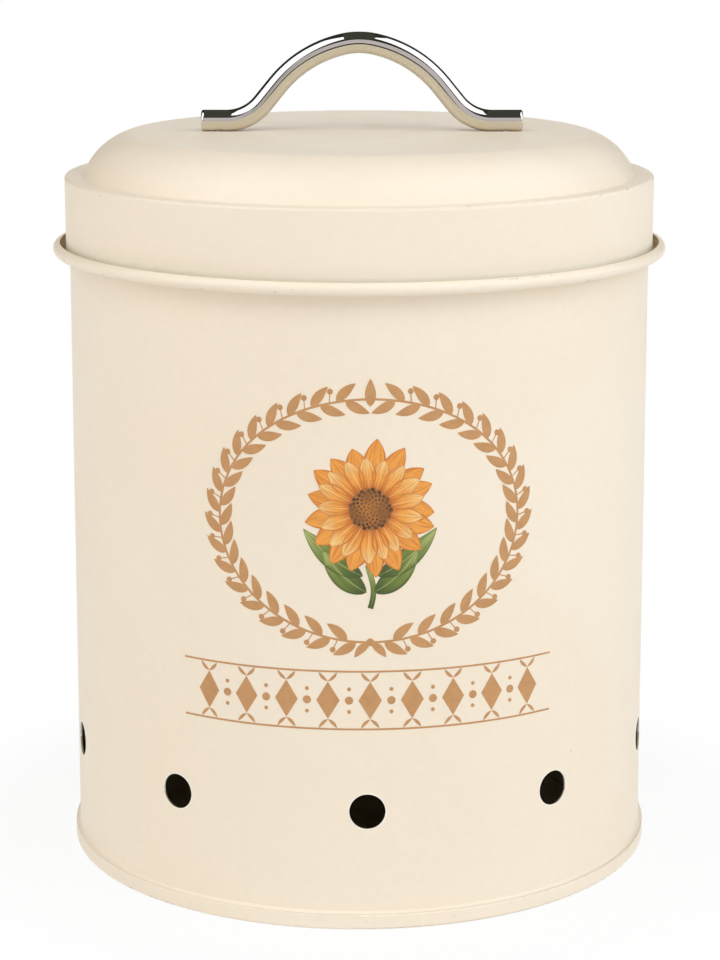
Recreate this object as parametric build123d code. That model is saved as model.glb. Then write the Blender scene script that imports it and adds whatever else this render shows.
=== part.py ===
from build123d import *
import math
import os

# Onion storage canister: a vented sheet-steel tin with a rolled rim, a domed lift-off lid
# and a polished bar handle. Millimetres, +Z up, origin in the middle of the foot ring,
# front towards -Y. All radii are measured from the canister's axis.

# Sheet
sheet = 0.5
seam_gap = 0.05
bend_inside = 0.3

# Canister wall, a little wider at its foot than at the seat
wall_radius = 84.5
wall_spread = 0.95
seat_height = 178.1
wall_end = 0.8

# Rolled rim, open towards the lid
mouth_gap = 2.0
curl_radius = 1.75
curl_turn = 185.0

# Vent holes
vent_diameter = 10.0
vent_height = 34.1
vent_count = 9
vent_pitch = 38.3
vent_turn = 1.5

# Side seam at the back
seam_width = 6.0
seam_top_gap = 1.5

# Base
hook_gap = 0.25
hem_height = 4.6
hem_tuck = 2.8
panel_lift = 3.0
foot_bend = 0.7
panel_bend = 0.5
base_step = 1.0
base_step_run = 2.0
base_step_inset = 18.0
base_step_bend = 1.0

# Lid
lid_step = 1.1
seat_gap = 0.1
lid_hem_gap = 0.2
lid_hem_height = 4.0
skirt_height = 22.2
shoulder_width = 5.3
shoulder_corner = 0.9
shoulder_valley = 0.8
dome_side_run = 4.5
dome_side_rise = 9.0
dome_top_run = 8.8
dome_top_rise = 2.9
dome_bend = 19.0
top_bend = 5.0

# Handle
bar_diameter = 6.3
handle_span = 93.4
foot_length = 8.45
foot_shift = 0.8
foot_bend_radius = 13.1
leg_angle = 50.7
side_radius = 34.5
crown_straight = 0.2
crown_angle = 12.0
crown_radius = 19.5
foot_flat = 0.1
bar_end_round = 0.9

# Handle screws
screw_diameter = 3.0
screw_inset = 5.0
screw_depth = 4.0
tapped_extra = 0.4
screw_clearance = 0.1
screw_head_diameter = 5.6
screw_head_height = 2.2
screw_head_round = 1.0
drive_width = 0.8
drive_length = 3.2
drive_depth = 1.3
washer_diameter = 9.0
washer_thickness = 0.8
washer_hole = 3.2
lid_hole = 3.4

# Derived places
ledge_height = seat_height - sheet
wall_foot = wall_radius + wall_spread
lid_radius = wall_radius + lid_step
mouth_radius = lid_radius + mouth_gap
shoulder_height = seat_height + skirt_height
top_height = shoulder_height + dome_side_rise + dome_top_rise
bar_height = top_height + bar_diameter / 2 - foot_flat
washer_bottom = top_height - sheet - washer_thickness

above = (Align.CENTER, Align.CENTER, Align.MIN)
below = (Align.CENTER, Align.CENTER, Align.MAX)


def screw_x(side):
    """The place along X of the screw on one side, -1 for left and 1 for right."""
    return foot_shift + side * (handle_span / 2 - screw_inset)


def revolved_sheet(outline):
    """Turn the outer line of a sheet, in (radius, height), into a solid ring of the sheet's thickness.

    The metal lies to the left of the line.
    """
    section = make_face(outline.offset_2d(sheet, side=Side.LEFT, closed=True))
    return revolve(Plane.XZ * section, Axis.Z)


def wall_face(height):
    """The radius of the wall's outer face at a height."""
    return wall_radius + wall_spread * (ledge_height - height) / (ledge_height - wall_end)


def bent_line(points, radii):
    """A line with a bend of its own radius at each inner point."""
    return FilletPolyline(*points, radius=radii)


def make_body_wall():
    """The rolled wall, from its lower edge in the base seam to the edge of the rim's curl."""
    lower = bent_line(
        [(wall_foot, wall_end), (wall_radius, ledge_height), (mouth_radius, ledge_height)],
        [bend_inside],
    )
    curl = CenterArc((mouth_radius, ledge_height + curl_radius), curl_radius, -90, curl_turn)
    wall = revolved_sheet(Wire(lower.edges() + curl.edges()))

    seam_angle = math.degrees(seam_width / wall_radius)
    seam_top = ledge_height - seam_top_gap
    lower_face, upper_face = wall_face(hem_height), wall_face(seam_top)
    seam_corners = [
        (lower_face - sheet / 2, hem_height),
        (lower_face + sheet, hem_height),
        (upper_face + sheet, seam_top),
        (upper_face - sheet / 2, seam_top),
    ]
    seam_section = make_face(Polyline(*seam_corners, close=True))
    seam = revolve(Plane.XZ * seam_section, Axis.Z, revolution_arc=seam_angle)
    wall += Rot(0, 0, 90 - seam_angle / 2 + vent_turn) * seam

    first = -(vent_count - 1) / 2
    drill = Rot(90, 0, 0) * Cylinder(vent_diameter / 2, wall_foot + sheet, align=above)
    for index in range(vent_count):
        angle = vent_turn + (first + index) * vent_pitch
        wall -= Pos(0, 0, vent_height) * Rot(0, 0, angle) * drill
    return wall


def make_base_pan():
    """The base: a raised panel, a foot ring and a folded hem around the wall's lower edge."""
    foot_inner = wall_foot - sheet - seam_gap - sheet
    hook_inner = wall_foot + seam_gap
    hem_radius = hook_inner + 2 * sheet + hook_gap
    base_step_radius = foot_inner - base_step_inset
    fold = (hem_radius - hook_inner) / 2 - seam_gap
    line = bent_line(
        [
            (0, panel_lift + base_step),
            (base_step_radius, panel_lift + base_step),
            (base_step_radius + base_step_run, panel_lift),
            (foot_inner, panel_lift),
            (foot_inner, 0),
            (hem_radius, 0),
            (hem_radius, hem_height),
            (hook_inner, hem_height),
            (hook_inner, hem_height - hem_tuck),
        ],
        [base_step_bend, base_step_bend, panel_bend, foot_bend, foot_bend, fold, fold],
    )
    return revolved_sheet(Wire(line.edges()))


def make_lid_shell():
    """The lid, one pressing: hemmed skirt, narrow shoulder, rounded dome and a flat top."""
    hem_bottom = seat_height + seat_gap
    hem_inner = lid_radius - 2 * sheet - lid_hem_gap
    fold = (lid_radius - hem_inner) / 2 - seam_gap
    shoulder_inner = lid_radius - shoulder_width
    dome_corner = shoulder_inner - dome_side_run
    line = bent_line(
        [
            (hem_inner, hem_bottom + lid_hem_height),
            (hem_inner, hem_bottom),
            (lid_radius, hem_bottom),
            (lid_radius, shoulder_height),
            (shoulder_inner, shoulder_height),
            (dome_corner, shoulder_height + dome_side_rise),
            (dome_corner - dome_top_run, top_height),
            (0, top_height),
        ],
        [fold, fold, shoulder_corner, shoulder_valley, dome_bend, top_bend],
    )
    lid = revolved_sheet(Wire(line.edges()))
    for side in (-1, 1):
        lid -= Pos(screw_x(side), 0, top_height) * Cylinder(lid_hole / 2, 4 * sheet)
    return lid


def make_handle_bar():
    """The handle: a round bar with two feet, two slanted legs and an arch that is tightest on top.

    The right foot is a little longer than the left one.
    """
    slope, crown_slope = math.radians(leg_angle), math.radians(crown_angle)
    end_x = handle_span / 2
    corner_x = end_x - foot_length - foot_bend_radius * math.tan(slope / 2)
    crown_run = crown_radius * math.tan(crown_slope) + crown_straight
    crown_run += side_radius * math.tan((slope - crown_slope) / 2)
    side_x = crown_run * math.cos(crown_slope)
    side_height = bar_height + (corner_x - side_x) * math.tan(slope)
    crown_height = side_height + crown_run * math.sin(crown_slope)
    left_x, right_x = foot_shift - end_x, foot_shift + end_x
    path = FilletPolyline(
        (left_x, 0, bar_height),
        (-corner_x, 0, bar_height),
        (-side_x, 0, side_height),
        (0, 0, crown_height),
        (side_x, 0, side_height),
        (corner_x, 0, bar_height),
        (right_x, 0, bar_height),
        radius=[foot_bend_radius, side_radius, crown_radius, side_radius, foot_bend_radius],
    )
    section = Plane(origin=(left_x, 0, bar_height), z_dir=(1, 0, 0)) * Circle(bar_diameter / 2)
    bar = sweep(section, path=path)
    rings = bar.edges().filter_by(GeomType.CIRCLE)
    ends = rings.filter_by_position(Axis.X, left_x, left_x)
    ends += rings.filter_by_position(Axis.X, right_x, right_x)
    bar = fillet(ends, bar_end_round)

    bar -= Pos(0, 0, top_height) * Box(2 * handle_span, bar_diameter, bar_diameter, align=below)
    for side in (-1, 1):
        bar -= Pos(screw_x(side), 0, top_height) * Cylinder(
            (screw_diameter + screw_clearance) / 2, screw_depth + tapped_extra, align=above
        )
    return bar


def make_screw(side):
    """A pan-head screw that holds one foot of the handle from inside the lid."""
    shank_length = top_height + screw_depth - washer_bottom
    shank = Cylinder(screw_diameter / 2, shank_length, align=above)
    head = Cylinder(screw_head_diameter / 2, screw_head_height, align=below)
    head = fillet(head.edges().sort_by(Axis.Z)[0], screw_head_round)
    drive = Box(drive_length, drive_width, drive_depth, align=above)
    drive += Box(drive_width, drive_length, drive_depth, align=above)
    screw = shank + head - Pos(0, 0, -screw_head_height) * drive
    return Pos(screw_x(side), 0, washer_bottom) * screw


def make_washer(side):
    """The plain washer between the screw's head and the underside of the lid."""
    ring = Cylinder(washer_diameter / 2, washer_thickness, align=above)
    ring -= Cylinder(washer_hole / 2, washer_thickness, align=above)
    return Pos(screw_x(side), 0, washer_bottom) * ring


nodes = {
    "body_wall": make_body_wall(),
    "base_pan": make_base_pan(),
    "lid_shell": make_lid_shell(),
    "handle_bar": make_handle_bar(),
    "handle_screw_left": make_screw(-1),
    "handle_screw_right": make_screw(1),
    "handle_washer_left": make_washer(-1),
    "handle_washer_right": make_washer(1),
}

os.makedirs("parts", exist_ok=True)
for name, solid in nodes.items():
    solid.label = name
    export_step(solid, f"parts/{name}.step")
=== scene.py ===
import bmesh
import bpy
import math
import random
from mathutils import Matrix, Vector


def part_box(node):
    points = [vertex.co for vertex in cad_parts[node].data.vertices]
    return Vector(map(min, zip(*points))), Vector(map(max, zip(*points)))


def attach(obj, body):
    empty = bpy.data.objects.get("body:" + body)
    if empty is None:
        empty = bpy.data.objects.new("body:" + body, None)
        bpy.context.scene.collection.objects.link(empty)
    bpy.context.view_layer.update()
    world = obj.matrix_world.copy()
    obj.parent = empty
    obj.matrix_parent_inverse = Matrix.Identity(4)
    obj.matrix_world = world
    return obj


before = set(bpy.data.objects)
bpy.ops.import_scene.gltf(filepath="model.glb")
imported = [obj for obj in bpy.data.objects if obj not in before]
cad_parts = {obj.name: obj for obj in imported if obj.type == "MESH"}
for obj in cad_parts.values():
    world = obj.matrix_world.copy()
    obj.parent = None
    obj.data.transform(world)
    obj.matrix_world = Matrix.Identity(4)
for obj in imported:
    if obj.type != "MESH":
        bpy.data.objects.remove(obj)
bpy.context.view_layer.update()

# Units: the scene is in metres, and the sizes below are in millimetres times this
MM = 0.001

# Places on the canister, as the frame has them
WALL_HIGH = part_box("body_wall")[1]
LID_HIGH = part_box("lid_shell")[1]
PAN_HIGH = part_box("base_pan")[1]
WALL_RADIUS = 84.5 * MM
WALL_FOOT = 85.45 * MM
WALL_END = 0.8 * MM
LEDGE_HEIGHT = 177.6 * MM
SEAT_HEIGHT = 178.1 * MM
RIM_TOP = WALL_HIGH.z
RIM_RADIUS = WALL_HIGH.x
LID_RADIUS = LID_HIGH.x
SHOULDER_HEIGHT = 200.3 * MM
HEM_TOP = PAN_HIGH.z
VENT_RADIUS = 5.0 * MM
VENT_HEIGHT = 34.1 * MM
VENT_PITCH = math.radians(38.3)
VENT_TURN = math.radians(1.5)
VENT_COUNT = 9
SEAM_PAINT_WIDTH = 0.72 * MM

# Camera, as it stood for the photograph
IMAGE_HEIGHT_PX = 960
IMAGE_WIDTH_PX = 720
FOCAL_PX = 2669.5
AXIS_X_PX = 359.25
CAMERA_DISTANCE = 0.7794
CAMERA_HEIGHT = 0.2884
CAMERA_PITCH = math.radians(13.035)
SENSOR = 36.0

# Linear colours
CREAM = (0.915, 0.805, 0.665)
CREAM_WARM = (0.905, 0.785, 0.635)
CHIP = (0.10, 0.075, 0.05)
# Painted highlight: the paler colour of the ring round each vent hole
VENT_RIM_HIGHLIGHT = (0.96, 0.91, 0.84)
# Painted light: the lighter colour low on the lid's skirt, which cancels the rim's shade
SKIRT_PAINTED_LIGHT = (1.0, 0.93, 0.79)
TINPLATE = (0.78, 0.66, 0.43)
CHROME = (0.70, 0.665, 0.56)
ZINC = (0.62, 0.63, 0.64)
TAN_INK = (0.59, 0.305, 0.12)
TAN_DEEP = (0.49, 0.24, 0.085)
PETAL_DEEP = (0.50, 0.10, 0.012)
PETAL_GOLD = (0.86, 0.36, 0.055)
PETAL_PALE = (0.93, 0.62, 0.24)
HEART_GOLD = (0.45, 0.17, 0.03)
HEART_DARK = (0.075, 0.028, 0.012)
LEAF_GREEN = (0.16, 0.22, 0.035)
LEAF_DARK = (0.055, 0.085, 0.015)
LEAF_PALE = (0.42, 0.46, 0.15)
FLOOR_WHITE = (0.9, 0.9, 0.9)
WHITE = (1.0, 1.0, 1.0)

# Surfaces: scales are in cells per metre
PAINT_ROUGHNESS = (0.40, 0.50)
PAINT_ROUGHNESS_SCALE = 90.0
CLOUD_SCALE = 14.0
GRAIN_SCALE = 420.0
SPECK_SCALE = 150.0
SPECK_RARITY = 0.988
SPECK_STRENGTH = 0.4
FLAKE_SCALE = 330.0
WORN_PLACE_SCALE = 38.0
RUB_SCALE = 1500.0
CHIP_STRENGTH = 0.5
CHIP_DEPTH = 0.06 * MM
CUT_DEPTH = 0.08 * MM
CUT_REACH = (0.15 * MM, 0.5 * MM)
PEEL_SCALE = 620.0
PEEL_DEPTH = 0.04 * MM
# Painted shade of a crease: how dark the fine line on the base's hem is, and how wide
LINE_SHADE = 0.82
LINE_WIDTHS = (0.06 * MM, 0.07 * MM)
TIN_METALLIC = 0.5
TIN_ROUGHNESS = 0.32
TIN_SHADE = 0.82
ROLLED_SCALES = (40.0, 40.0, 900.0)
CHROME_ROUGHNESS = (0.035, 0.09)
RUBBED_SCALES = (60.0, 900.0, 900.0)
PIT_SCALE = 1500.0
WAVE_SCALE = 180.0
ZINC_ROUGHNESS = (0.24, 0.38)
ZINC_SHADE = 0.8
ZINC_SCALE = 700.0
INK_ROUGHNESS = (0.40, 0.48)
INK_PATCH_SCALE = 260.0
INK_GRAIN_SCALE = 2600.0
PETAL_ROUGHNESS = 0.42

# Studio
AMBIENT = 0.43
HANDLE_HEIGHT = 0.225
LIT_HEIGHT = 0.12
FLOOR_SHADOW_REACH = (0.10, 0.16)
FLOOR_SHADOW_WHITE = 0.88
ROOM = (0.03, 0.03, 0.03)
CEILING = (0.06, 0.066, 0.058)
FRONT_GREY = (0.68, 0.65, 0.74)
LEFT_GREY = (0.50, 0.50, 0.52)
TABLE_GREY = (0.64, 0.61, 0.58)
SOFTBOX = (1.6, 1.7, 2.0)
LEFT_LIGHT = (1.0, 0.97, 0.86)
RIGHT_LIGHT = (0.955, 1.0, 1.0)

# Name, azimuth, elevation, distance in metres, size, power in watts, colour
SOFTBOXES = [
    ("softbox_left", -64, 30, 1.5, (1.0, 1.6), 7.3, LEFT_LIGHT),
    ("softbox_right", 60, 30, 1.5, (1.0, 1.6), 10.2, RIGHT_LIGHT),
    ("key", 0, 50, 1.5, (0.7, 0.7), 4.5, WHITE),
]

# Name, azimuths, elevations, distance in metres, colour, soft share, colour at the edges
CARDS = [
    ("card_left", (-101, -38), (6, 74), 1.5, SOFTBOX, 0.04, ROOM),
    ("card_right", (51, 113), (6, 74), 1.5, SOFTBOX, 0.04, ROOM),
    ("card_front", (-25.5, 37.5), (-4, 33), 1.7, FRONT_GREY, 0.06, ROOM),
    ("card_room", (-62, 62), (-4, 70), 2.0, ROOM, 0.04, ROOM),
    ("card_edge_left", (-172, -106), (-2, 80), 1.7, ROOM, 0.04, ROOM),
    ("card_edge_right", (116, 172), (-2, 80), 1.7, ROOM, 0.04, ROOM),
    ("card_grey_left", (-26, -8), (-8, 20), 1.6, LEFT_GREY, 0.3, FRONT_GREY),
    ("card_ceiling", (-12, 13), (34, 140), 1.4, CEILING, 0.1, ROOM),
    ("card_roof", (-62, 62), (68, 142), 2.1, ROOM, 0.04, ROOM),
    ("card_table_edge", (-5.5, 5.5), (-22, -1), 0.74, ROOM, 0.6, TABLE_GREY),
]

# Print, in millimetres and degrees: a leaf is so long and so wide
PRINT_X = 3.0
PRINT_SUNK = 0.07
LEAF_FULLNESS = 0.8
WREATH_HEIGHT = 116.0
WREATH_ACROSS = 42.5
WREATH_UP = 33.5
WREATH_PAIRS = 18
WREATH_FIRST = 5.2
WREATH_PITCH = 9.55
WREATH_LEAF = (7.4, 2.7)
WREATH_LEAN = 44
BRANCH_HALF_WIDTH = 0.3
INNER_LEAF_PLACE = 0.35
BERRY_PLACE = 0.72
BERRY_LEAN = 74
BERRY_RADIUS = 0.8
STALK_LENGTH = 3.2
STALK_HALF_WIDTH = 0.14
STALK_STEPS = 4
KNOT_RADIUS = 1.1
KNOT_LEAF = (6.2, 2.3)
KNOT_LEAN = 58
KNOT_CURVE = 30
TIP_LEAF = (7.6, 3.0)
TIP_SUNK = 2.0
FLOWER_HEIGHT = 119.5
STEM_LOW = 92.0
STEM_POINTS = 9
STEM_RISE = 1.5
STEM_SWAY = 0.9
STEM_HALF_WIDTH = 0.75
PETAL_COUNT = 17
OUTER_PETALS = (4.5, 14.2, 6.0)
INNER_PETALS = (4.2, 10.8, 4.9)
HEART_RADIUS = 5.9
SEED_COUNT = 90
GOLDEN_TURN = math.radians(137.508)
BAND_HEIGHT = 66.0
BAND_LENGTH = 109.0
BAND_RULES = 8.2
LOZENGE_COUNT = 9
LOZENGE_PITCH = 11.6
LOZENGE = (6.4, 10.6)
RULE_THICKNESS = 0.5
SPRIG_REACH = 5.4
SPRIG_LEAF = (3.6, 0.9)
SPRIG_LEAN = 58
SPRIG_CURVE = 30
DOT_RADIUS = 1.15
SMALL_DOT_RADIUS = 0.55
SMALL_DOT_REACH = 3.2

# Leaves on each side of the stem: across, up, lean, length, width, curve
STEM_LEAVES = [
    (1.0, 4.5, 62, 17.0, 6.4, 34),
    (2.0, 9.0, 66, 21.0, 6.0, 30),
]


class Shader:
    """A node material while it is being built: each method adds a node and gives its result."""

    def __init__(self, name):
        self.material = bpy.data.materials.new(name)
        self.material.use_nodes = True
        self.tree = self.material.node_tree
        self.surface = self.tree.nodes["Principled BSDF"]

    def put(self, socket, value):
        """Links a result to a socket, or sets a plain value on it."""
        if isinstance(value, bpy.types.NodeSocket):
            self.tree.links.new(value, socket)
        elif isinstance(value, tuple) and socket.type == "RGBA":
            socket.default_value = (*value, 1.0)
        else:
            socket.default_value = value

    def add(self, kind, inputs, output=0, **settings):
        node = self.tree.nodes.new(kind)
        for key, value in settings.items():
            setattr(node, key, value)
        for key, value in inputs.items():
            self.put(node.inputs[key], value)
        return node.outputs[output]

    def place(self):
        return self.add("ShaderNodeTexCoord", {}, "Object")

    def math(self, operation, first, second=0.0, third=0.0):
        inputs = {0: first, 1: second, 2: third}
        return self.add("ShaderNodeMath", inputs, operation=operation)

    def any(self, values):
        """The greatest of some values."""
        greatest = values[0]
        for value in values[1:]:
            greatest = self.math("MAXIMUM", greatest, value)
        return greatest

    def noise(self, scale, detail=2.0, place=None, roughness=0.5):
        inputs = {"Vector": place or self.place(), "Scale": scale, "Detail": detail}
        inputs["Roughness"] = roughness
        return self.add("ShaderNodeTexNoise", inputs, "Fac")

    def range(self, value, low, high, to_low=0.0, to_high=1.0):
        """Value from low to high becomes to_low to to_high, with a smooth step at each end."""
        inputs = {"Value": value, 1: low, 2: high, 3: to_low, 4: to_high}
        return self.add("ShaderNodeMapRange", inputs, interpolation_type="SMOOTHSTEP")

    def mix(self, factor, first, second):
        inputs = {0: factor, 6: first, 7: second}
        return self.add("ShaderNodeMix", inputs, 2, data_type="RGBA")

    def blend(self, factor, first, second):
        inputs = {0: factor, 2: first, 3: second}
        return self.add("ShaderNodeMix", inputs, 0, data_type="FLOAT")

    def bump(self, height, strength, distance, normal=None):
        inputs = {"Height": height, "Strength": strength, "Distance": distance}
        if normal is not None:
            inputs["Normal"] = normal
        return self.add("ShaderNodeBump", inputs)

    def axes(self):
        """The piece's own x, y and z."""
        split = self.tree.nodes.new("ShaderNodeSeparateXYZ")
        self.put(split.inputs[0], self.place())
        return tuple(split.outputs)

    def height(self):
        return self.axes()[2]

    def flat_place(self):
        """The way from the canister's axis, level."""
        inputs = {0: self.place(), 1: (1.0, 1.0, 0.0)}
        return self.add("ShaderNodeVectorMath", inputs, operation="MULTIPLY")

    def radius(self):
        """Distance from the canister's axis."""
        return self.add("ShaderNodeVectorMath", {0: self.flat_place()}, "Value", operation="LENGTH")

    def finish(self, **inputs):
        names = {
            "colour": "Base Color",
            "metallic": "Metallic",
            "roughness": "Roughness",
            "normal": "Normal",
            "gloss": "Specular IOR Level",
        }
        for key, value in inputs.items():
            self.put(self.surface.inputs[names[key]], value)
        return self.material


def shaded(colour, share):
    return tuple(share * part for part in colour)


def band(shader, value, middle, half_width, soft):
    """1 within half_width of middle, falling to 0 over the soft distance."""
    offset = shader.math("ABSOLUTE", shader.math("SUBTRACT", value, middle))
    return shader.range(offset, half_width, half_width + soft, 1.0, 0.0)


def spot(shader, value, middle, reach, height, half_height):
    """1 round a middle value and a height, falling to 0 over as much again on each side."""
    across = band(shader, value, middle, reach, reach)
    up = band(shader, shader.height(), height, half_height, half_height)
    return shader.math("MULTIPLY", across, up)


def azimuth(shader):
    """The angle round the canister from the front, to the right."""
    x, y, _ = shader.axes()
    return shader.math("ARCTAN2", x, shader.math("MULTIPLY", y, -1.0))


def vent_edges(shader):
    """The narrow ring round each vent hole: its paler colour is painted highlight, and its bump makes a
    small lip.
    """
    turns = shader.math("DIVIDE", shader.math("SUBTRACT", azimuth(shader), VENT_TURN), VENT_PITCH)
    offset = shader.math("SUBTRACT", turns, shader.math("ROUND", turns))
    across = shader.math("MULTIPLY", offset, VENT_PITCH * WALL_FOOT)
    up = shader.math("SUBTRACT", shader.height(), VENT_HEIGHT)
    place = shader.add("ShaderNodeCombineXYZ", {0: across, 1: up}, "Vector")
    reach = shader.add("ShaderNodeVectorMath", {0: place}, "Value", operation="LENGTH")
    ring = shader.range(reach, VENT_RADIUS + CUT_REACH[0], VENT_RADIUS + CUT_REACH[1], 1.0, 0.0)
    real = shader.math("LESS_THAN", shader.math("ABSOLUTE", turns), VENT_COUNT / 2)
    return shader.math("MULTIPLY", ring, real)


def paint(name, worn_edges=(), scuffs=(), line=None, painted_light=None, vents=False, bare=None):
    """Satin cream paint on steel: faint tone changes, orange peel, specks, and chips on worn edges.

    worn_edges: (radius, height, reach) of the edges that chip here and there.
    scuffs: (azimuth, half its angle, height, half its height) of single rubbed marks, in degrees.
    line: the height of a fine dark line, painted shade of a crease in the hem's fold. painted_light:
    (low, high), the heights between which a lighter band of painted light ends, which cancels the shade
    the rim throws on the lid's skirt.
    bare: a function that gives the mask of the unpainted tinplate.
    """
    shader = Shader(name)
    clouds = shader.noise(CLOUD_SCALE, 3.0)
    grain = shader.noise(GRAIN_SCALE, 2.0)
    colour = shader.mix(shader.range(clouds, 0.35, 0.68), CREAM, CREAM_WARM)
    if vents:
        edges = vent_edges(shader)
        # The paler ring round each vent is painted highlight on the cut edge of the paint.
        colour = shader.mix(edges, colour, VENT_RIM_HIGHLIGHT)
    # A lighter band low on the skirt is painted light that cancels the shade the rim's bead throws on
    # it.
    if painted_light:
        low, high = painted_light
        colour = shader.mix(shader.range(shader.height(), low, high, 1.0, 0.0), colour, SKIRT_PAINTED_LIGHT)
    shade = shader.range(grain, 0.3, 0.7, 0.985, 1.0)
    if line:
        # The fine dark line is painted shade of a crease in the base's folded hem.
        crease_shade = band(shader, shader.height(), line, *LINE_WIDTHS)
        shade = shader.math("MULTIPLY", shade, shader.range(crease_shade, 0.0, 1.0, 1.0, LINE_SHADE))
    colour = shader.add("ShaderNodeVectorMath", {0: colour, "Scale": shade}, operation="SCALE")

    cells = {"Vector": shader.place(), "Scale": SPECK_SCALE}
    distance = shader.add("ShaderNodeTexVoronoi", cells, "Distance")
    tint = shader.add("ShaderNodeTexVoronoi", cells, "Color")
    pick = shader.add("ShaderNodeSeparateColor", {0: tint}, "Red")
    rare = shader.math("GREATER_THAN", pick, SPECK_RARITY)
    speck = shader.math("MULTIPLY", rare, shader.range(distance, 0.02, 0.05, 1.0, 0.0))
    colour = shader.mix(shader.math("MULTIPLY", speck, SPECK_STRENGTH), colour, CHIP)

    normal = shader.bump(shader.noise(PEEL_SCALE, 1.0), 0.35, PEEL_DEPTH)
    if worn_edges:
        flakes = shader.noise(FLAKE_SCALE, 3.0, roughness=0.62)
        places = shader.noise(WORN_PLACE_SCALE, 1.0)
        worn = shader.range(flakes, 0.65, 0.68)
        worn = shader.math("MULTIPLY", worn, shader.range(places, 0.57, 0.63))
        edge = shader.any([
            spot(shader, shader.radius(), radius, reach, height, reach)
            for radius, height, reach in worn_edges
        ])
        chips = shader.math("MULTIPLY", worn, edge)
        colour = shader.mix(shader.math("MULTIPLY", chips, CHIP_STRENGTH), colour, CHIP)
        normal = shader.bump(chips, 0.6, -CHIP_DEPTH, normal)
    if scuffs:
        ragged = shader.range(shader.noise(RUB_SCALE, 3.0, roughness=0.7), 0.47, 0.56)
        marks = shader.any([
            spot(shader, azimuth(shader), math.radians(turn), math.radians(reach), height, half_height)
            for turn, reach, height, half_height in scuffs
        ])
        rubbed = shader.math("MULTIPLY", ragged, marks)
        colour = shader.mix(shader.math("MULTIPLY", rubbed, CHIP_STRENGTH), colour, CHIP)
    if vents:
        normal = shader.bump(edges, 0.5, CUT_DEPTH, normal)
    roughness = shader.range(shader.noise(PAINT_ROUGHNESS_SCALE, 3.0), 0.3, 0.7, *PAINT_ROUGHNESS)
    if bare is None:
        return shader.finish(colour=colour, roughness=roughness, normal=normal)

    mask = bare(shader)
    rolled = shader.add("ShaderNodeMapping", {"Vector": shader.place(), "Scale": ROLLED_SCALES})
    streaks = shader.noise(1.0, 3.0, rolled)
    tin = shader.mix(shader.range(streaks, 0.3, 0.7), TINPLATE, shaded(TINPLATE, TIN_SHADE))
    return shader.finish(
        colour=shader.mix(mask, colour, tin),
        metallic=shader.math("MULTIPLY", mask, TIN_METALLIC),
        roughness=shader.blend(mask, roughness, TIN_ROUGHNESS),
        normal=normal,
    )


def facing(shader):
    """How far a surface faces up, and whether it faces away from the axis (over 0) or towards it."""
    normal = shader.add("ShaderNodeTexCoord", {}, "Normal")
    up = shader.add("ShaderNodeSeparateXYZ", {0: normal}, "Z")
    inputs = {0: shader.flat_place(), 1: normal}
    outward = shader.add("ShaderNodeVectorMath", inputs, "Value", operation="DOT_PRODUCT")
    return up, outward


def wall_inside(shader):
    """The bare side of the wall: what faces the axis, and the upper side of the lid's seat."""
    up, outward = facing(shader)
    inward = shader.math("LESS_THAN", outward, -0.12 * WALL_RADIUS)
    near_seat = shader.math("LESS_THAN", shader.height(), SEAT_HEIGHT + 0.5 * MM)
    seat = shader.math("MULTIPLY", shader.math("GREATER_THAN", up, 0.2), near_seat)
    return shader.math("MAXIMUM", inward, seat)


def lid_inside(shader):
    """The bare side of the lid: what faces down or towards the axis."""
    up, outward = facing(shader)
    down = shader.math("LESS_THAN", up, -0.05)
    level = shader.math("LESS_THAN", up, 0.05)
    inward = shader.math("MULTIPLY", level, shader.math("LESS_THAN", outward, 0.0))
    return shader.math("MAXIMUM", down, inward)


def pan_inside(shader):
    """The bare side of the base: its upper face, inside the wall."""
    up, _ = facing(shader)
    within = shader.math("LESS_THAN", shader.radius(), WALL_FOOT)
    return shader.math("MULTIPLY", shader.math("GREATER_THAN", up, 0.1), within)


def chrome():
    """Polished plating with a few fine rubbed lines and pits."""
    shader = Shader("handle_chrome")
    along = shader.add("ShaderNodeMapping", {"Vector": shader.place(), "Scale": RUBBED_SCALES})
    lines = shader.noise(1.0, 2.0, along)
    pits = shader.noise(PIT_SCALE, 2.0)
    pit = shader.range(pits, 0.76, 0.81)
    scratched = shader.range(lines, 0.45, 0.75, *CHROME_ROUGHNESS)
    roughness = shader.math("ADD", scratched, shader.math("MULTIPLY", pit, 0.2))
    normal = shader.bump(shader.noise(WAVE_SCALE, 1.0), 0.12, 0.03 * MM)
    normal = shader.bump(pit, 0.2, -0.02 * MM, normal)
    return shader.finish(colour=CHROME, metallic=1.0, roughness=roughness, normal=normal)


def zinc():
    """Bright zinc plate, a little clouded."""
    shader = Shader("screw_zinc")
    clouds = shader.noise(ZINC_SCALE, 3.0)
    colour = shader.mix(shader.range(clouds, 0.3, 0.7), ZINC, shaded(ZINC, ZINC_SHADE))
    roughness = shader.range(clouds, 0.3, 0.7, *ZINC_ROUGHNESS)
    return shader.finish(colour=colour, metallic=1.0, roughness=roughness)


def tones(shader):
    """Where a point lies on its printed shape: along it (0 to 1), across it (-1 to 1), its number."""
    settings = {"attribute_name": "tone", "attribute_type": "GEOMETRY"}
    stored = shader.add("ShaderNodeAttribute", {}, "Color", **settings)
    split = shader.tree.nodes.new("ShaderNodeSeparateColor")
    shader.put(split.inputs[0], stored)
    along, across, number = split.outputs
    across = shader.math("SUBTRACT", shader.math("MULTIPLY", across, 2.0), 1.0)
    return along, across, number


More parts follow.
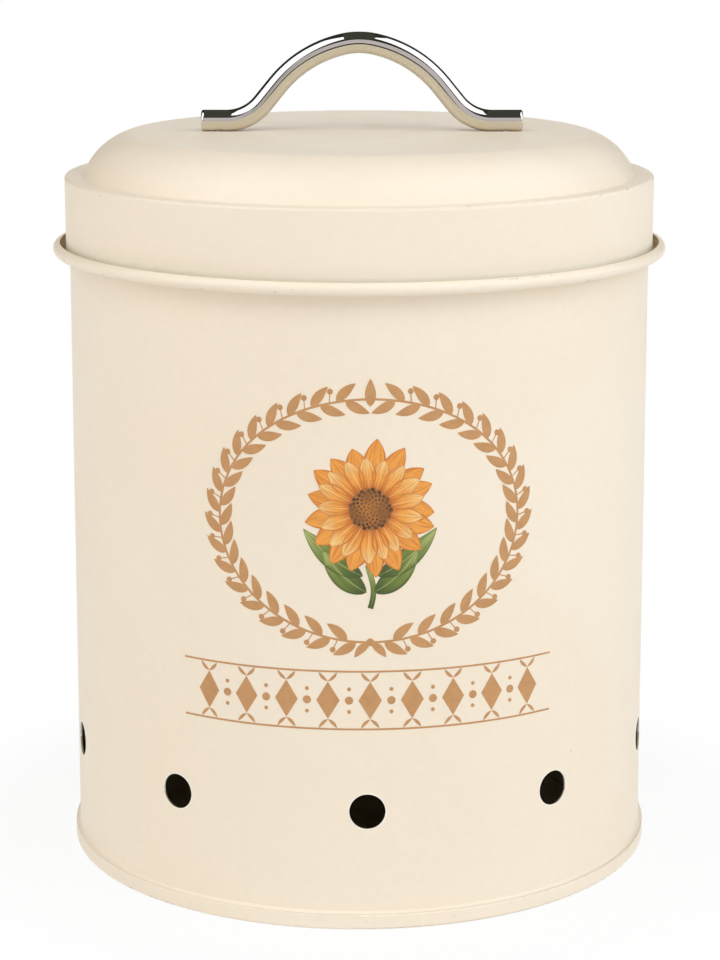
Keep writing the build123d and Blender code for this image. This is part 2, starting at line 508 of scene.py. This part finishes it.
def ink(name, colour, deep):
    """One flat ink, a little uneven, with the paint's own gloss."""
    shader = Shader(name)
    patches = shader.range(shader.noise(INK_PATCH_SCALE, 3.0), 0.35, 0.7)
    grain = shader.range(shader.noise(INK_GRAIN_SCALE, 2.0), 0.3, 0.7, 0.92, 1.0)
    mixed = shader.mix(shader.math("MULTIPLY", patches, 0.5), colour, deep)
    mixed = shader.add("ShaderNodeVectorMath", {0: mixed, "Scale": grain}, operation="SCALE")
    return shader.finish(colour=mixed, roughness=shader.range(patches, 0.0, 1.0, *INK_ROUGHNESS))


def streaked_ink(name, base, middle, tip, edge, streaks):
    """Painted petals or leaves: a colour run from base to tip, fine streaks, and a darker outline."""
    shader = Shader(name)
    along, across, number = tones(shader)
    colour = shader.mix(shader.range(along, 0.0, 0.5), base, middle)
    colour = shader.mix(shader.range(along, 0.45, 1.0), colour, tip)
    inputs = {0: shader.math("MULTIPLY", across, streaks), 1: along}
    inputs[2] = shader.math("MULTIPLY", number, 90.0)
    place = shader.add("ShaderNodeCombineXYZ", inputs, "Vector")
    lines = shader.range(shader.noise(1.6, 3.0, place, 0.6), 0.42, 0.68)
    colour = shader.mix(shader.math("MULTIPLY", lines, 0.55), colour, base)
    rim = shader.range(shader.math("ABSOLUTE", across), 0.72, 0.98)
    ends = shader.range(along, 0.93, 1.0)
    outline = shader.math("MAXIMUM", rim, ends)
    colour = shader.mix(shader.math("MULTIPLY", outline, 0.7), colour, edge)
    rib = shader.range(shader.math("ABSOLUTE", across), 0.02, 0.12, 0.5, 0.0)
    colour = shader.mix(rib, colour, tip)
    return shader.finish(colour=colour, roughness=PETAL_ROUGHNESS)


def on_wall(across, height, lift):
    """A point of the print: across is millimetres round the wall from the front, to the right."""
    angle = across * MM / WALL_FOOT
    fall = (LEDGE_HEIGHT - height * MM) / (LEDGE_HEIGHT - WALL_END)
    radius = WALL_RADIUS + (WALL_FOOT - WALL_RADIUS) * fall + lift * MM
    return (radius * math.sin(angle), -radius * math.cos(angle), height * MM)


class Print:
    """Printed shapes in one ink, laid round the wall as one thin piece, and lifted a little off it.

    All sizes are in millimetres.
    """

    def __init__(self, name, material, lift):
        self.name = name
        self.material = material
        self.lift = lift
        self.points = []
        self.tones = []
        self.faces = []
        self.shapes = 0

    def ribbon(self, spine, half_widths, closed=False):
        """A shape along a line of points, so wide to each side at each point."""
        first = len(self.points)
        number = self.shapes * 0.0137 % 1.0
        self.shapes += 1
        last = len(spine) - 1
        for i, (x, y) in enumerate(spine):
            before = spine[i - 1] if i > 0 or closed else spine[0]
            after = spine[(i + 1) % len(spine)] if i < last or closed else spine[last]
            run = Vector((after[0] - before[0], after[1] - before[1])).normalized()
            for side in (-1, 0, 1):
                off = side * half_widths[i]
                self.points.append(on_wall(x - run.y * off, y + run.x * off, self.lift))
                self.tones.append((i / last, 0.5 + 0.5 * side, number, 1.0))
        rows = len(spine) if closed else last
        for i in range(rows):
            here = first + 3 * i
            there = first + 3 * ((i + 1) % len(spine))
            for side in (0, 1):
                self.faces.append((here + side, there + side, there + side + 1, here + side + 1))

    def leaf(self, x, y, angle, length, width, curve=0.0, fullness=1.0):
        """A pointed leaf or petal from (x, y), widest nearer the base if its fullness is under 1."""
        steps = max(8, round(length / 0.8))
        spine, half_widths = [], []
        for i in range(steps + 1):
            s = i / steps
            spine.append((x, y))
            half_widths.append(width / 2 * math.sin(math.pi * s ** fullness) ** 0.85)
            turn = math.radians(angle + curve * s)
            x += length / steps * math.cos(turn)
            y += length / steps * math.sin(turn)
        self.ribbon(spine, half_widths)

    def disc(self, x, y, radius):
        steps = max(8, round(radius * 3))
        turns = [math.pi * (1 - i / steps) for i in range(steps + 1)]
        spine = [(x + radius * math.cos(turn), y) for turn in turns]
        self.ribbon(spine, [radius * math.sin(turn) for turn in turns])

    def lozenge(self, x, y, width, height):
        steps = 6
        spine = [(x - width / 2 + width * i / steps, y) for i in range(steps + 1)]
        self.ribbon(spine, [height / 2 * (1 - abs(2 * i / steps - 1)) for i in range(steps + 1)])

    def rule(self, x0, x1, y, thickness, taper=0.0):
        steps = round((x1 - x0) / 1.6)
        spine = [(x0 + (x1 - x0) * i / steps, y) for i in range(steps + 1)]
        ends = [1 - taper * abs(2 * i / steps - 1) for i in range(steps + 1)]
        self.ribbon(spine, [thickness / 2 * end for end in ends])

    def lay(self):
        """Makes the piece: a thin closed skin, sunk a little into the wall."""
        mesh = bpy.data.meshes.new(self.name)
        mesh.from_pydata(self.points, [], self.faces)
        stored = mesh.color_attributes.new("tone", "FLOAT_COLOR", "POINT")
        for i, tone in enumerate(self.tones):
            stored.data[i].color = tone
        form = bmesh.new()
        form.from_mesh(mesh)
        bmesh.ops.remove_doubles(form, verts=form.verts, dist=0.01 * MM)
        form.to_mesh(mesh)
        form.free()
        mesh.materials.append(self.material)
        piece = bpy.data.objects.new(self.name, mesh)
        bpy.context.collection.objects.link(piece)
        skin = piece.modifiers.new("thickness", "SOLIDIFY")
        skin.thickness = (self.lift + PRINT_SUNK) * MM
        skin.offset = -1.0
        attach(piece, "canister")


def wreath_point(turn):
    """A point of the wreath's oval and its direction, turn degrees up from the bottom on the right."""
    angle = math.radians(turn - 90)
    x, y = WREATH_ACROSS * math.cos(angle), WREATH_UP * math.sin(angle)
    way = math.degrees(math.atan2(WREATH_UP * math.cos(angle), -WREATH_ACROSS * math.sin(angle)))
    return x, y, way


def print_wreath(inked):
    """An oval of two leafy branches that meet at the top, with berries between the leaves."""
    steps = 140
    spine = []
    for i in range(steps):
        x, y, _ = wreath_point(360 * i / steps)
        spine.append((PRINT_X + x, WREATH_HEIGHT + y))
    inked.ribbon(spine, [BRANCH_HALF_WIDTH] * steps, closed=True)
    knot_y, tip_y = WREATH_HEIGHT - WREATH_UP, WREATH_HEIGHT + WREATH_UP - TIP_SUNK
    for side in (-1, 1):
        for pair in range(WREATH_PAIRS):
            for outer in (True, False):
                place = pair if outer else pair + INNER_LEAF_PLACE
                x, y, way = wreath_point(WREATH_FIRST + place * WREATH_PITCH)
                lean = -WREATH_LEAN if outer else WREATH_LEAN
                angle, curve = way + lean, -0.5 * lean
                if side < 0:
                    x, angle, curve = -x, 180 - angle, -curve
                inked.leaf(PRINT_X + x, WREATH_HEIGHT + y, angle, *WREATH_LEAF, curve, LEAF_FULLNESS)
            if pair < WREATH_PAIRS - 1:
                x, y, way = wreath_point(WREATH_FIRST + (pair + BERRY_PLACE) * WREATH_PITCH)
                out = math.radians(way - BERRY_LEAN)
                end_x, end_y = x + STALK_LENGTH * math.cos(out), y + STALK_LENGTH * math.sin(out)
                stalk = []
                for i in range(STALK_STEPS + 1):
                    here_x = x + (end_x - x) * i / STALK_STEPS
                    here_y = y + (end_y - y) * i / STALK_STEPS
                    stalk.append((PRINT_X + side * here_x, WREATH_HEIGHT + here_y))
                inked.ribbon(stalk, [STALK_HALF_WIDTH] * (STALK_STEPS + 1))
                inked.disc(PRINT_X + side * end_x, WREATH_HEIGHT + end_y, BERRY_RADIUS)
        inked.leaf(PRINT_X, knot_y, side * KNOT_LEAN - 90, *KNOT_LEAF, -side * KNOT_CURVE, 0.9)
    inked.disc(PRINT_X, knot_y, KNOT_RADIUS)
    inked.leaf(PRINT_X, tip_y, 90, *TIP_LEAF, 0.0, LEAF_FULLNESS)


def print_band(inked):
    """Two rules with lozenges and dots between them."""
    left, right = PRINT_X - BAND_LENGTH / 2, PRINT_X + BAND_LENGTH / 2
    for side in (-1, 1):
        inked.rule(left, right, BAND_HEIGHT + side * BAND_RULES, RULE_THICKNESS)
    for i in range(LOZENGE_COUNT):
        x = PRINT_X + (i - (LOZENGE_COUNT - 1) / 2) * LOZENGE_PITCH
        inked.lozenge(x, BAND_HEIGHT, *LOZENGE)
        for side in (-1, 1):
            y = BAND_HEIGHT + side * SPRIG_REACH
            for turn in (-1, 1):
                angle = side * 90 - turn * SPRIG_LEAN
                inked.leaf(x, y, angle, *SPRIG_LEAF, turn * SPRIG_CURVE)
        if i < LOZENGE_COUNT - 1:
            between = x + LOZENGE_PITCH / 2
            inked.disc(between, BAND_HEIGHT, DOT_RADIUS)
            for side in (-1, 1):
                inked.disc(between, BAND_HEIGHT + side * SMALL_DOT_REACH, SMALL_DOT_RADIUS)


def petals(piece, inner, length, width, shift, rng):
    """A ring of petals round the flower's heart, no two quite alike, inner mm from its middle."""
    for i in range(PETAL_COUNT):
        angle = 360 * (i + shift) / PETAL_COUNT + rng.uniform(-2.5, 2.5)
        away = math.radians(angle)
        x = PRINT_X + inner * math.cos(away)
        y = FLOWER_HEIGHT + inner * math.sin(away)
        grown = length * rng.uniform(0.9, 1.06)
        piece.leaf(x, y, angle, grown, width * rng.uniform(0.92, 1.06), rng.uniform(-12, 12), 1.25)


def print_flower():
    """A golden flower with a brown heart, on a short stem with four leaves."""
    rng = random.Random(7)
    green = streaked_ink("print_leaf_green", LEAF_DARK, LEAF_GREEN, LEAF_PALE, LEAF_DARK, 2.0)
    orange = streaked_ink("print_petal_orange", PETAL_DEEP, PETAL_GOLD, PETAL_GOLD, PETAL_DEEP, 3.0)
    gold = streaked_ink("print_petal_gold", PETAL_DEEP, PETAL_GOLD, PETAL_PALE, PETAL_DEEP, 3.0)
    leaves = Print("print_leaves", green, 0.03)
    for side in (-1, 1):
        for across, up, lean, length, width, curve in STEM_LEAVES:
            x, y = PRINT_X + side * across, STEM_LOW + up
            leaves.leaf(x, y, 90 - side * lean, length, width, side * curve, LEAF_FULLNESS)
    stem = []
    for i in range(STEM_POINTS):
        stem.append((PRINT_X + STEM_SWAY * math.sin(0.5 * i), STEM_LOW + STEM_RISE * i))
    leaves.ribbon(stem, [STEM_HALF_WIDTH] * STEM_POINTS)
    leaves.lay()
    outer = Print("print_outer_petals", orange, 0.05)
    petals(outer, *OUTER_PETALS, 0.0, rng)
    outer.lay()
    middle = Print("print_inner_petals", gold, 0.07)
    petals(middle, *INNER_PETALS, 0.5, rng)
    middle.lay()
    heart = Print("print_heart", ink("print_heart_gold", HEART_GOLD, HEART_DARK), 0.09)
    heart.disc(PRINT_X, FLOWER_HEIGHT, HEART_RADIUS)
    heart.lay()
    seeds = Print("print_seeds", ink("print_seed_brown", HEART_DARK, HEART_GOLD), 0.11)
    for i in range(SEED_COUNT):
        reach = 0.59 * math.sqrt(i + 0.3)
        turn = GOLDEN_TURN * i
        x = PRINT_X + reach * math.cos(turn)
        y = FLOWER_HEIGHT + reach * math.sin(turn)
        seeds.disc(x, y, 0.2 + 0.012 * reach * reach)
    seeds.lay()


def print_all():
    tan = ink("print_tan", TAN_INK, TAN_DEEP)
    wreath = Print("print_wreath", tan, 0.03)
    print_wreath(wreath)
    wreath.lay()
    band_print = Print("print_band", tan, 0.03)
    print_band(band_print)
    band_print.lay()
    print_flower()


def make_seam_fillet(material):
    """The paint that fills the corner between the wall and the base's folded edge."""
    wall = WALL_FOOT - 0.04 * MM
    fold = wall + SEAM_PAINT_WIDTH
    section = [
        (wall, HEM_TOP - 0.5 * MM),
        (wall + 0.2 * MM, HEM_TOP - 0.5 * MM),
        (fold, HEM_TOP - 0.02 * MM),
        (wall + 0.42 * MM, HEM_TOP + 0.06 * MM),
        (wall + 0.18 * MM, HEM_TOP + 0.22 * MM),
        (wall, HEM_TOP + 0.55 * MM),
    ]
    steps, count = 360, len(section)
    points, faces = [], []
    for step in range(steps):
        turn = 2 * math.pi * step / steps
        across, out = math.sin(turn), -math.cos(turn)
        points += [(radius * across, radius * out, height) for radius, height in section]
        here, there = step * count, (step + 1) % steps * count
        faces += [
            (here + i, there + i, there + (i + 1) % count, here + (i + 1) % count) for i in range(count)
        ]
    mesh = bpy.data.meshes.new("seam_paint")
    mesh.from_pydata(points, [], faces)
    mesh.materials.append(material)
    for polygon in mesh.polygons:
        polygon.use_smooth = True
    mesh.set_sharp_from_angle(angle=math.radians(40))
    piece = bpy.data.objects.new("seam_paint", mesh)
    bpy.context.collection.objects.link(piece)
    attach(piece, "canister")


def dress(node, material):
    """Gives a frame node its material."""
    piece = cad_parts[node]
    piece.data.materials.clear()
    piece.data.materials.append(material)


def make_camera():
    data = bpy.data.cameras.new("camera")
    data.sensor_width = SENSOR
    data.lens = FOCAL_PX / IMAGE_HEIGHT_PX * SENSOR
    data.clip_start = 0.01
    data.clip_end = 60.0
    camera = bpy.data.objects.new("camera", data)
    camera.location = (0.0, -CAMERA_DISTANCE, CAMERA_HEIGHT)
    turn = math.atan((IMAGE_WIDTH_PX / 2 - AXIS_X_PX) / FOCAL_PX)
    camera.rotation_euler = (math.pi / 2 - CAMERA_PITCH, 0.0, -turn)
    bpy.context.collection.objects.link(camera)
    bpy.context.scene.camera = camera


def stage_mesh(name, points, faces, material):
    mesh = bpy.data.meshes.new(name)
    mesh.from_pydata(points, [], faces)
    mesh.materials.append(material)
    piece = bpy.data.objects.new(name, mesh)
    bpy.context.collection.objects.link(piece)
    return piece


def floor_material():
    """A white floor. The camera sees it pure white but for a faint shadow where the canister stands."""
    shader = Shader("floor_white")
    shader.finish(colour=FLOOR_WHITE, roughness=0.9, gloss=0.1)
    emission = shader.add("ShaderNodeEmission", {"Color": WHITE, "Strength": 1.0}, "Emission")
    camera_ray = shader.add("ShaderNodeLightPath", {}, "Is Camera Ray")
    glossy_ray = shader.add("ShaderNodeLightPath", {}, "Is Glossy Ray")
    seen = shader.math("MAXIMUM", camera_ray, glossy_ray)
    share = shader.range(shader.radius(), *FLOOR_SHADOW_REACH, FLOOR_SHADOW_WHITE, 1.0)
    inputs = {0: shader.math("MULTIPLY", seen, share), 1: shader.surface.outputs[0], 2: emission}
    mixed = shader.add("ShaderNodeMixShader", inputs)
    output = shader.tree.nodes["Material Output"]
    shader.tree.links.new(mixed, output.inputs["Surface"])
    return shader.material


def make_floor():
    """A floor that curves up into a backdrop, far behind the canister."""
    half, back, rise, bend = 8.0, 6.0, 6.0, 2.0
    profile = [(-half, 0.0)]
    for step in range(13):
        angle = math.radians(90 * step / 12)
        profile.append((back - bend + bend * math.sin(angle), bend - bend * math.cos(angle)))
    profile.append((back, rise))
    points = [(side * half, y, z) for y, z in profile for side in (-1, 1)]
    faces = [(2 * i, 2 * i + 1, 2 * i + 3, 2 * i + 2) for i in range(len(profile) - 1)]
    floor = stage_mesh("floor", points, faces, floor_material())
    for polygon in floor.data.polygons:
        polygon.use_smooth = True


def toward(azimuth, elevation):
    """The direction to a place in the studio. Azimuth 0 is in front, 90 to the right, 180 behind."""
    a, e = math.radians(azimuth), math.radians(elevation)
    return Vector((math.sin(a) * math.cos(e), -math.cos(a) * math.cos(e), math.sin(e)))


def make_card(name, azimuths, elevations, distance, colour, soft, rim):
    """A flat studio card that only reflections see, over a range of azimuth and elevation.

    Its colour fades into the rim colour over the soft share of its size at the edges.
    """
    half_across = math.radians(azimuths[1] - azimuths[0]) / 2
    half_up = math.radians(elevations[1] - elevations[0]) / 2
    half_width, half_height = distance * math.tan(half_across), distance * math.tan(half_up)
    shader = Shader(name + "_glow")
    across, up, _ = shader.axes()
    share_across = shader.math("DIVIDE", shader.math("ABSOLUTE", across), half_width)
    share_up = shader.math("DIVIDE", shader.math("ABSOLUTE", up), half_height)
    fade = shader.range(shader.math("MAXIMUM", share_across, share_up), 1.0 - soft, 1.0, 1.0, 0.0)
    tint = shader.mix(fade, rim, colour)
    glow = shader.add("ShaderNodeEmission", {"Color": tint, "Strength": 1.0}, "Emission")
    shader.tree.links.new(glow, shader.tree.nodes["Material Output"].inputs["Surface"])
    corners = [(half_width * a, half_height * b, 0.0) for a, b in ((-1, -1), (1, -1), (1, 1), (-1, 1))]
    card = stage_mesh(name, corners, [(0, 1, 2, 3)], shader.material)
    away = toward(sum(azimuths) / 2, sum(elevations) / 2)
    card.location = Vector((0.0, 0.0, HANDLE_HEIGHT)) + away * distance
    card.rotation_euler = away.to_track_quat("Z", "Y").to_euler()
    card.visible_camera = False
    card.visible_diffuse = False
    card.visible_transmission = False
    card.visible_shadow = False
    card.visible_volume_scatter = False


def make_softbox(name, azimuth, elevation, distance, size, power, colour):
    """An area light that looks at the middle of the canister. Cards stand for it in reflections."""
    data = bpy.data.lights.new(name, "AREA")
    data.shape = "RECTANGLE"
    data.size, data.size_y = size
    data.energy = power
    data.color = colour
    lamp = bpy.data.objects.new(name, data)
    away = toward(azimuth, elevation)
    target = Vector((0.0, 0.0, LIT_HEIGHT))
    lamp.location = target + away * distance
    lamp.rotation_euler = away.to_track_quat("Z", "Y").to_euler()
    lamp.visible_camera = False
    lamp.visible_glossy = False
    bpy.context.collection.objects.link(lamp)


def make_world():
    world = bpy.data.worlds.new("studio")
    world.use_nodes = True
    bpy.context.scene.world = world
    nodes, links = world.node_tree.nodes, world.node_tree.links
    background = nodes["Background"]
    background.inputs["Color"].default_value = (1, 1, 1, 1)
    path = nodes.new("ShaderNodeLightPath")
    seen = nodes.new("ShaderNodeMath")
    seen.operation = "MAXIMUM"
    links.new(path.outputs["Is Camera Ray"], seen.inputs[0])
    links.new(path.outputs["Is Glossy Ray"], seen.inputs[1])
    also = nodes.new("ShaderNodeMath")
    also.operation = "MAXIMUM"
    links.new(seen.outputs[0], also.inputs[0])
    links.new(path.outputs["Is Transmission Ray"], also.inputs[1])
    strength = nodes.new("ShaderNodeMapRange")
    strength.inputs["To Min"].default_value = AMBIENT
    strength.inputs["To Max"].default_value = 1.0
    links.new(also.outputs[0], strength.inputs["Value"])
    links.new(strength.outputs[0], background.inputs["Strength"])


bpy.context.scene.view_settings.view_transform = "Standard"
make_camera()
make_world()
make_floor()
for softbox in SOFTBOXES:
    make_softbox(*softbox)
for card in CARDS:
    make_card(*card)

rim_edge = (RIM_RADIUS - 0.6 * MM, RIM_TOP - 2.6 * MM, 0.9 * MM)
rim_scuffs = [
    (26.9, 1.2, RIM_TOP - 0.3 * MM, 0.07 * MM),
    (33.2, 1.6, RIM_TOP - 0.25 * MM, 0.05 * MM),
    (-52.0, 0.15, RIM_TOP - 2.9 * MM, 0.15 * MM),
    (-47.5, 0.15, RIM_TOP - 2.9 * MM, 0.15 * MM),
    (-28.1, 0.10, RIM_TOP - 2.9 * MM, 0.10 * MM),
]
shoulder_edge = (LID_RADIUS - 0.5 * MM, SHOULDER_HEIGHT - 0.5 * MM, 0.5 * MM)
shoulder_scuffs = [
    (50.5, 0.5, SHOULDER_HEIGHT - 0.3 * MM, 0.12 * MM),
    (47.3, 0.3, SHOULDER_HEIGHT - 0.3 * MM, 0.08 * MM),
    (20.1, 0.4, SHOULDER_HEIGHT - 0.1 * MM, 0.06 * MM),
]
hem_scuffs = [
    (-49.7, 0.8, 0.35 * MM, 0.2 * MM),
    (-42.4, 0.9, 0.3 * MM, 0.2 * MM),
    (-38.6, 0.6, 0.3 * MM, 0.15 * MM),
    (-35.3, 0.3, 0.3 * MM, 0.1 * MM),
    (1.4, 0.12, 2.5 * MM, 0.12 * MM),
    (17.7, 0.12, 2.6 * MM, 0.12 * MM),
]
dress("body_wall", paint("wall_paint", [rim_edge], rim_scuffs, vents=True, bare=wall_inside))
# The dark line near the top of the base's hem is painted shade of a crease.
dress("base_pan", paint("base_paint", scuffs=hem_scuffs, line=HEM_TOP - 0.17 * MM, bare=pan_inside))
# Painted light: the lid's skirt is lighter just above the rim, to cancel the bead's shade.
lid_painted_light = (RIM_TOP - 0.5 * MM, RIM_TOP + 2.6 * MM)
dress("lid_shell", paint("lid_paint", [shoulder_edge], shoulder_scuffs, painted_light=lid_painted_light, bare=lid_inside))
make_seam_fillet(paint("seam_paint"))
dress("handle_bar", chrome())
screw_finish = zinc()
for side in ("left", "right"):
    dress("handle_screw_" + side, screw_finish)
    dress("handle_washer_" + side, screw_finish)

print_all()
